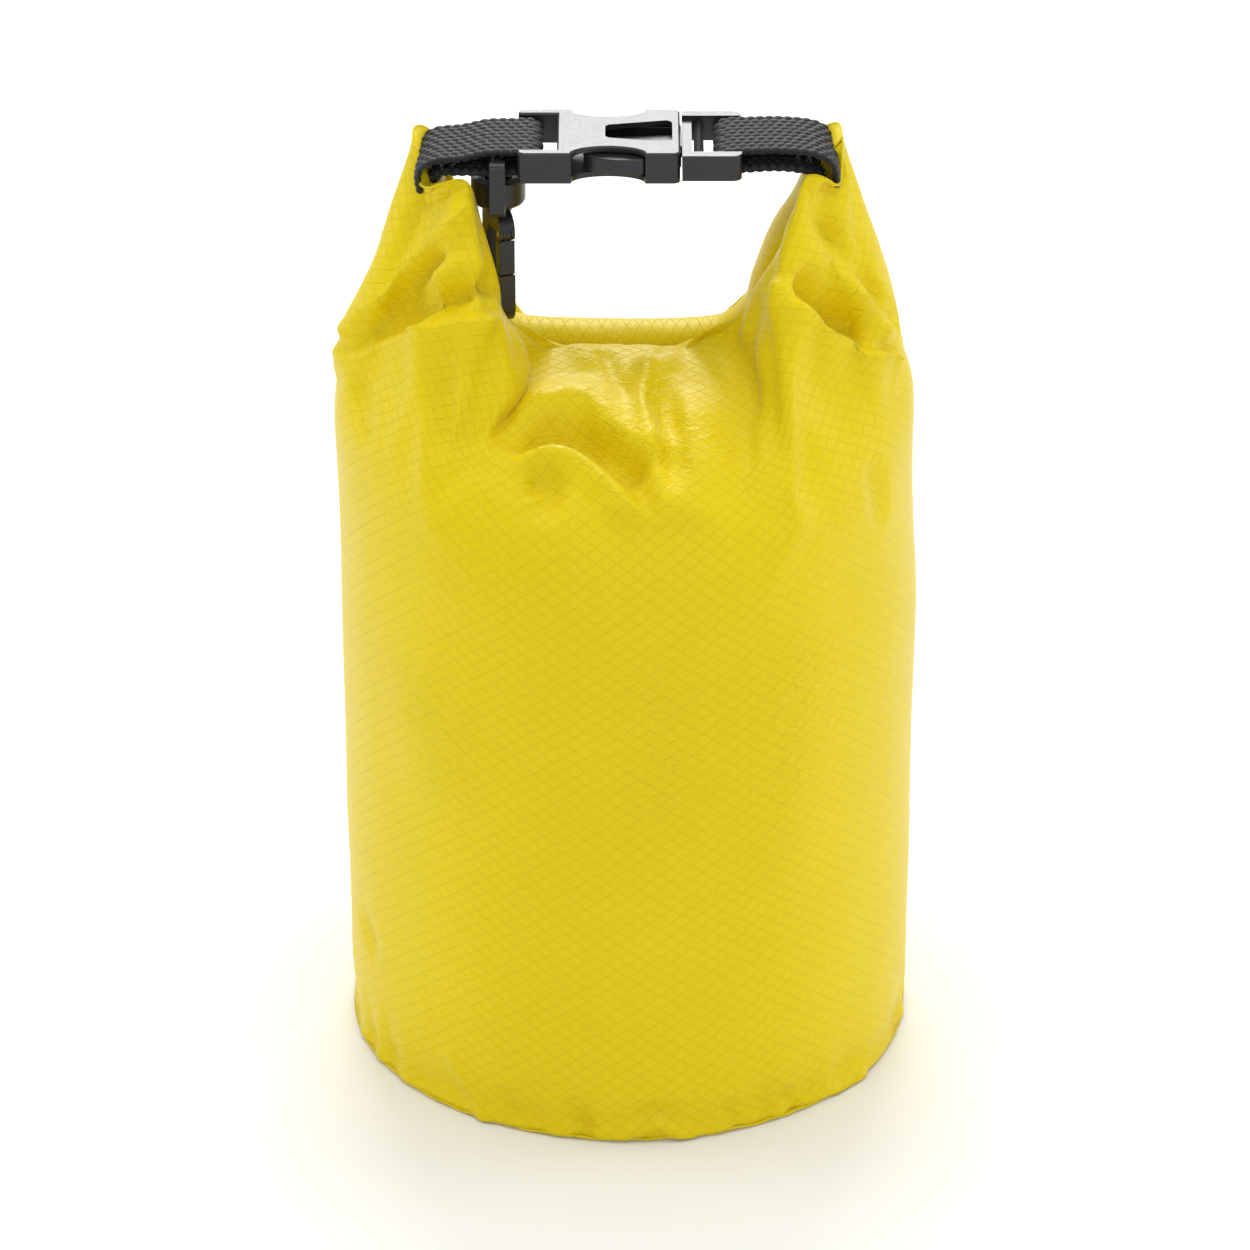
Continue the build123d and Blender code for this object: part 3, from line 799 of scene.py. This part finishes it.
def path_distance(points, path):
    """Distance of each point from a path, how far along it the nearest place is, and the offset to it."""
    path = np.asarray(path, float)
    lengths = np.linalg.norm(np.diff(path, axis=0), axis=1)
    best = np.full(len(points), 1e9)
    run = np.zeros(len(points))
    offset = np.zeros_like(points)
    before = 0.0
    for a, b, length in zip(path[:-1], path[1:], lengths):
        d = (b - a) / length
        rel = points - a
        t = np.clip(rel @ d, 0, length)
        off = rel - t[:, None] * d
        dist = np.linalg.norm(off, axis=1)
        near = dist < best
        best = np.where(near, dist, best)
        run = np.where(near, (before + t) / lengths.sum(), run)
        offset[near] = off[near]
        before += length
    return best, run, offset


def crease(points, path, height, widths, side, sharp, fades):
    """Height added near a path. Its two widths hold on the low and the high side along axis side."""
    dist, run, off = path_distance(points, smooth_curve(path, 24))
    lean = np.clip(0.5 + 0.8 * off[:, side] / np.maximum(dist, 1e-6), 0, 1)
    reach = widths[0] + (widths[1] - widths[0]) * lean * lean * (3 - 2 * lean)
    x = np.clip(dist / reach, 0, 1)
    shape = (1 - x) ** 2 * sharp + (1 - x * x) ** 2 * (1 - sharp)
    rise = np.clip(run / fades[0], 0, 1) if fades[0] else 1.0
    fall = np.clip((1 - run) / fades[1], 0, 1) if fades[1] else 1.0
    return height * shape * rise * fall


def calm(grid, passes, first_row, last_row):
    """Grid of points with its small wrinkles smoothed out between two rows, edges kept."""
    grid = grid.copy()
    rows = np.arange(grid.shape[0])
    weight = np.clip((rows - first_row) / 8, 0, 1) * np.clip((last_row - rows) / 4, 0, 1)
    weight = 0.5 * weight[1:-1, None, None]
    for _ in range(passes):
        middle = (grid[:-2] + grid[2:] + np.roll(grid, 1, 1)[1:-1] + np.roll(grid, -1, 1)[1:-1]) / 4
        grid[1:-1] += (middle - grid[1:-1]) * weight
    return grid


# Each fold: rough places along it, in whole millimetres, which are moved onto the settled skin before
# use; its height, and its widths on its low and its high side, in millimetres; the axis that tells
# those sides apart, 0 for left to right and 2 for up; its sharpness, and the shares of its length that
# it fades in and out over
FOLDS = [
    # ridge down the front
    (((5, -8, 222), (5, -25, 221), (4, -35, 218), (7, -50, 213), (8, -61, 207), (10, -74, 197)),
     5, (6, 10), 0, 0.7, (0.12, 0.12)),
    # hollow right of the ridge
    (((6, -18, 221), (9, -37, 217), (11, -53, 211), (14, -67, 203)),
     -2.6, (7, 8), 0, 0.1, (0.2, 0.2)),
    # right of the hollow
    (((18, -25, 220), (18, -57, 209), (15, -73, 197)),
     2.2, (7, 16), 0, 0.2, (0.3, 0.1)),
    # crest right
    (((11, -8, 223), (13, -20, 221)),
     1.6, (6, 6), 0, 0.3, (0, 0.5)),
    # crest left
    (((-13, -7, 223), (-11, -19, 221)),
     1.8, (7, 7), 0, 0.2, (0, 0.5)),
    # crease in the crest
    (((-7, -10, 222), (-3, -24, 220), (1, -37, 218)),
     -1.6, (4, 4), 0, 0.4, (0, 0.4)),
    # brow
    (((-38, -42, 218), (-26, -36, 218), (-14, -35, 218), (-4, -46, 215), (6, -59, 209)),
     5.5, (5, 19), 2, 0.2, (0.25, 0.1)),
    # big hollow under the brow
    (((-34, -52, 212), (-22, -46, 214), (-9, -51, 213), (5, -63, 207)),
     -6.5, (7, 7), 2, 0.1, (0.15, 0.1)),
    # tongue ridge under the big hollow
    (((-36, -58, 208), (-24, -54, 211), (-16, -56, 210), (-8, -63, 207), (0, -69, 202), (9, -74, 196)),
     4.6, (7, 6), 2, 0.5, (0.15, 0.3)),
    # small hollow
    (((-30, -61, 207), (-23, -63, 205), (-27, -71, 197)),
     -4.5, (8, 8), 0, 0.2, (0.1, 0.5)),
    # low ridge
    (((-9, -68, 202), (0, -70, 201), (7, -73, 197)),
     1.8, (6, 5), 2, 0.6, (0.3, 0.3)),
    # left ear: outer fold
    (((-46, -14, 277), (-47, -19, 270), (-54, -15, 261), (-68, -8, 243), (-81, -4, 225)),
     5.5, (16, 3.6), 0, 0.9, (0.1, 0.05)),
    # left ear: valley behind the outer fold
    (((-49, -22, 263), (-58, -14, 250), (-68, -10, 238), (-76, -11, 230)),
     -3.6, (8, 4), 2, 0.2, (0.2, 0.25)),
    # left ear: bulge
    (((-42, -20, 260), (-50, -25, 256), (-62, -14, 242), (-74, -11, 233)),
     3.8, (9, 8), 2, 0.1, (0.2, 0.1)),
    # left ear: dark hollow
    (((-38, -15, 248), (-50, -28, 249), (-62, -18, 240), (-71, -12, 231)),
     -6, (5, 10), 2, 0.1, (0.15, 0.25)),
    # left ear: lip
    (((-84, -1, 218), (-71, -14, 227), (-58, -30, 240), (-46, -35, 245), (-37, -27, 242)),
     4.8, (15, 3.4), 2, 0.7, (0.1, 0.1)),
    # right ear: lip
    (((42, -25, 254), (46, -32, 253), (53, -29, 241), (62, -23, 231), (73, -19, 226), (80, -10, 222)),
     6.2, (15, 3.2), 2, 0.8, (0.1, 0.05)),
    # right ear: pocket
    (((45, -30, 255), (53, -27, 246), (61, -20, 237), (72, -18, 231)),
     -7.5, (6, 10), 2, 0.1, (0.1, 0.15)),
    # right ear: panel
    (((50, -22, 266), (59, -15, 252), (68, -16, 243), (79, -10, 227)),
     3, (8, 8), 2, 0.1, (0.2, 0.1)),
    # right ear: valley
    (((53, -14, 272), (58, -12, 260), (69, -11, 244), (80, -3, 228)),
     -3.5, (5, 6), 0, 0.5, (0.2, 0.1)),
    # right brow
    (((30, -10, 234), (38, -25, 232), (46, -45, 232)),
     2, (10, 12), 2, 0.1, (0.2, 0.5)),
    # left shoulder point
    (((-83, -1, 218), (-80, -5, 229)),
     3.6, (9, 9), 0, 0.1, (0, 0.3)),
    # left dent
    (((-54, -39, 226), (-52, -48, 216)),
     -1.8, (9, 9), 0, 0, (0, 0)),
    # left shoulder dent
    (((-78, -18, 214), (-77, -27, 206)),
     -1.4, (7, 7), 0, 0, (0, 0)),
    # right dent
    (((74, -38, 196), (75, -37, 187)),
     -2, (8, 8), 0, 0, (0, 0)),
    # left low dent
    (((-81, -25, 47), (-75, -40, 36)),
     -1.8, (8, 8), 0, 0.3, (0.3, 0.3)),
    # long left swell
    (((-66, -53, 165), (-57, -63, 130), (-46, -71, 88)),
     1, (26, 26), 0, 0, (0.3, 0.3)),
    # long right swell
    (((49, -68, 185), (46, -71, 122), (41, -74, 67)),
     1, (26, 26), 0, 0, (0.3, 0.3)),
    # wide hollow down the middle
    (((10, -81, 179), (9, -84, 129), (7, -84, 83)),
     -1.4, (30, 30), 0, 0, (0.3, 0.3)),
    # fold over the base seam
    (((-5, -81, 1), (1, -82, 3), (8, -82, 6), (14, -80, 3), (21, -78, 1)),
     2.6, (3.5, 4.5), 2, 0.4, (0.3, 0.3)),
    # hollow above that fold
    (((0, -84, 8), (8, -84, 11), (17, -82, 8)),
     -1.5, (5, 6), 2, 0.1, (0.3, 0.3)),
    # puckers over the base seam, left to right
    (((-55, -65, 22), (-42, -70, 2)),
     1.8, (5, 5), 0, 0.5, (0.2, 0)),
    (((-38, -75, 15), (-33, -76, 6)),
     -1.3, (5, 5), 0, 0.3, (0.2, 0)),
    (((-19, -82, 15), (-13, -81, 4)),
     -1.4, (5, 5), 0, 0.3, (0.2, 0)),
    (((28, -79, 13), (31, -75, 1)),
     -1.2, (5, 5), 0, 0.3, (0.2, 0)),
    (((46, -70, 11), (47, -66, 2)),
     -1.5, (5, 5), 0, 0.3, (0.2, 0)),
    (((69, -43, 2), (60, -54, 2)),
     1.8, (5, 5), 0, 0.5, (0.2, 0)),
]


# Share by which the shoulder is drawn in on the right and on the left
DRAWN_RIGHT, DRAWN_LEFT = 0.034, 0.006


def press_folds(piece):
    """Move the skin's points along their normals to give it its folds, crinkles and soft dents."""
    mesh = piece.data
    count = len(mesh.vertices)
    co = np.zeros(count * 3)
    mesh.vertices.foreach_get("co", co)
    co = co.reshape(-1, 3)
    normal = np.array([v.normal for v in mesh.vertices])
    points = co / MM
    move = np.zeros(count)
    near = np.zeros(count)
    surface = BVHTree.FromPolygons(points.tolist(), [tuple(face.vertices) for face in mesh.polygons])
    for places, height, widths, side, sharp, fades in FOLDS:
        path = [surface.find_nearest(Vector(place))[0] for place in places]
        add = crease(points, path, height, widths, side, sharp, fades)
        move += add
        near = np.maximum(near, np.abs(add) / abs(height))
    flat_enough = np.clip((points[:, 2] - 12) / 20, 0, 1)
    rim = rim_targets() / MM
    rim_distance, _, _ = path_distance(points, np.vstack([rim, rim[:1]]))
    from_rim = np.clip(rim_distance / 5, 0, 1) ** 0.7
    for n in range(count):
        x, y, z = points[n]
        broad = noise.noise(Vector((x / 42, y / 42, z / 60 + 3)))
        medium = noise.noise(Vector((x / 17, y / 17, z / 23 + 9)))
        fine = noise.noise(Vector((x / 4.2, y / 4.2, z / 3.0 + 1)))
        high = min(1.0, max(0.0, (z - 165) / 50))
        move[n] += flat_enough[n] * (0.9 * broad + (0.15 + 0.25 * high) * medium)
        move[n] += (0.03 + 0.12 * near[n] + 0.03 * high) * fine * flat_enough[n]
    angle = np.arctan2(points[:, 1], points[:, 0])
    low = np.clip(1 - points[:, 2] / 24, 0, 1) * np.clip(points[:, 2] / 2.5, 0.15, 1)
    for n in np.nonzero(low > 0)[0]:
        a = angle[n]
        strength = 0.9 + 1.1 * noise.noise(Vector((math.cos(a) * 3, math.sin(a) * 3, 5)))
        lean = points[n, 2] * 0.012 * math.sin(a * 5)
        move[n] += low[n] * strength * math.sin(a * 23 + lean + 2.2 * math.sin(a * 7))
    co += normal * (move * from_rim * MM)[:, None]
    spread = 1 + BASE_SPREAD * np.clip(1 - points[:, 2] / 9, 0, 1) ** 2
    co[:, :2] *= spread[:, None]
    shoulder = np.clip((points[:, 2] - 135) / 50, 0, 1) * np.clip((245 - points[:, 2]) / 30, 0, 1)
    drawn_in = np.where(points[:, 0] > 0, DRAWN_RIGHT, DRAWN_LEFT) * shoulder * shoulder * (3 - 2 * shoulder)
    co[:, 0] *= 1 - drawn_in
    co[:, 2] = np.maximum(co[:, 2], 0.0006)
    mesh.vertices.foreach_set("co", co.ravel())
    mark = mesh.attributes.new("crinkled", "FLOAT", "POINT")
    mark.data.foreach_set("value", near.astype(np.float32))
    mesh.update()


# ---------------------------------------------------------------- building

skin = tube()
stuffing = contents()
close_mouth(skin, stuffing)
bpy.data.objects.remove(stuffing)
settled = calm(skin_grid(skin), 5, 64, UP)
skin.data.vertices.foreach_set("co", settled.ravel())
skin.data.update()

roll_piece = rolled_mouth()
tuck_piece = tucked_mouth()
base_piece = base_disc()

# The back seam runs up the tube's middle back columns, and the base seam round its lowest rows
back_tape = inner_strip("back_seam_tape", settled[4:104, 44:53], 0.0022)
ring_rows = np.concatenate([settled[1:8], settled[1:8, :1]], axis=1)
base_tape = inner_strip("base_seam_tape", ring_rows, 0.0034)

subdivide(skin)
press_folds(skin)
thicken(skin, FABRIC_THICK, -1.0)
for piece in (roll_piece, tuck_piece):
    subdivide(piece)
    thicken(piece, FABRIC_THICK, 0.0)
thicken(base_piece, BASE_THICK, -1.0)

left_strap = strap("left_strap", LEFT_STRAP)
right_strap = strap("right_strap", RIGHT_STRAP)
left_tack = bar_tack("left_bar_tack", -52.0, 281.5)
right_tack = bar_tack("right_bar_tack", 50.0, 285.0)

ripstop = ripstop_group()
mottle = mottle_group()
fabric = coated_fabric(ripstop, mottle)
webbing = woven_strap(mottle)
black = plain_surface(
    "black_acetal", mottle, (0.012, 0.012, 0.013), (0.018, 0.018, 0.020), 0.24, 0.16, 0.00006)
thread = plain_surface(
    "bar_tack_thread", mottle, (0.02, 0.02, 0.022), (0.05, 0.05, 0.055), 0.5, 0.2, 0.00004)
tape = plain_surface(
    "seam_tape_film", mottle, (0.62, 0.56, 0.30), (0.70, 0.63, 0.36), 0.3, 0.15, 0.00003)
stiffener = plain_surface(
    "stiffener_sheet", mottle, (0.05, 0.05, 0.05), (0.07, 0.07, 0.07), 0.45, 0.1, 0.00003)
steel = plain_surface(
    "pin_steel", mottle, (0.45, 0.45, 0.46), (0.55, 0.55, 0.56), 0.25, 0.12, 0.00002, metallic=1.0)

# Fabric that crosses from the bag to the right half of the closure: its material, and its placement baked in
for piece in (skin, roll_piece, tuck_piece):
    dress(piece, fabric)
    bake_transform(piece)
dress(base_piece, fabric, "bag")
dress(back_tape, tape, "bag")
dress(base_tape, tape, "bag")
dress(left_strap, webbing, "bag")
dress(right_strap, webbing, "right_closure")
dress(left_tack, thread, "bag")
dress(right_tack, thread, "right_closure")

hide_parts("body_wall", "neck", "left_ear", "right_ear")
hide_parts("roll")
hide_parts("bottom_panel")
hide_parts("side_seam_tape")
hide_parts("bottom_seam_tape")
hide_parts("left_webbing")
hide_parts("right_webbing")
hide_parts("left_bartack")
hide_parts("right_bartack")

# CAD node, the body it rides on, and the radius of its moulded edges in millimetres
MOULDED = [
    ("buckle_socket", "bag", 0.45), ("buckle_plug", "right_closure", 0.45),
    ("prong_front", "prong_front", 0.35), ("prong_back", "prong_back", 0.35), ("swivel_eye", "eye", 0.9),
    ("hook_body", "hook", 1.3), ("hook_gate", "gate", 0.9),
]
for node, body, radius in MOULDED:
    piece = moulded(node, radius)
    dress(piece, black, body)
    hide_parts(node)
for node, material in (("mouth_stiffener", stiffener), ("swivel_rivet", black), ("gate_pin", steel)):
    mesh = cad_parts[node].data
    mesh.materials.clear()
    mesh.materials.append(material)

# ---------------------------------------------------------------- floor, light and camera


def aimed(holder, place, target):
    """Put a light or a camera at a place, turned towards a target."""
    holder.location = place
    holder.rotation_euler = (Vector(target) - holder.location).to_track_quat("-Z", "Y").to_euler()
    return holder


def soft_light(name, place, target, size, brightness):
    data = bpy.data.lights.new(name, "AREA")
    data.shape = "RECTANGLE"
    data.size, data.size_y = size
    data.energy = brightness * math.pi * size[0] * size[1]
    aimed(add_to_scene(name, data), place, target)


floor = new_object("floor", [(-30, -30, 0), (30, -30, 0), (30, 30, 0), (-30, 30, 0)], [(0, 1, 2, 3)])
floor_material, _, floor_shader = start_material("pale_floor")
floor_shader.inputs["Base Color"].default_value = (0.92, 0.92, 0.92, 1)
floor_shader.inputs["Roughness"].default_value = 0.9
floor_shader.inputs["Specular IOR Level"].default_value = 0.1
floor.data.materials.append(floor_material)

world = bpy.data.worlds.new("studio")
world.use_nodes = True
background = world.node_tree.nodes["Background"]
background.inputs["Color"].default_value = (1.0, 1.0, 1.0, 1)
background.inputs["Strength"].default_value = 0.46
bpy.context.scene.world = world
bpy.context.scene.view_settings.view_transform = "Standard"

# name, place, aim, size in metres, brightness of its face
SOFTBOXES = [
    ("back_strip", (0.0, 2.2, 1.43), (0, 0, 0.289), (1.5, 0.75), 11.0),
    ("overhead", (0.0, 0.1, 1.7), (0, 0, 0.15), (1.6, 1.4), 1.9),
    ("front_fill", (0.35, -2.3, 1.15), (0, 0, 0.12), (2.0, 1.5), 1.5),
    ("left_edge", (-1.9, 0.5, 0.7), (0, 0, 0.15), (0.9, 1.5), 2.5),
    ("right_edge", (1.9, 0.5, 0.7), (0, 0, 0.15), (0.9, 1.5), 2.5),
]
for box in SOFTBOXES:
    soft_light(*box)

camera_data = bpy.data.cameras.new("camera")
camera_data.lens = 191.8
camera_data.sensor_width = 36
camera_data.clip_end = 100
camera = add_to_scene("camera", camera_data)
aimed(camera, (-0.0012, -1.766, 1.043), (-0.0012, 0, 0.129))
bpy.context.scene.camera = camera
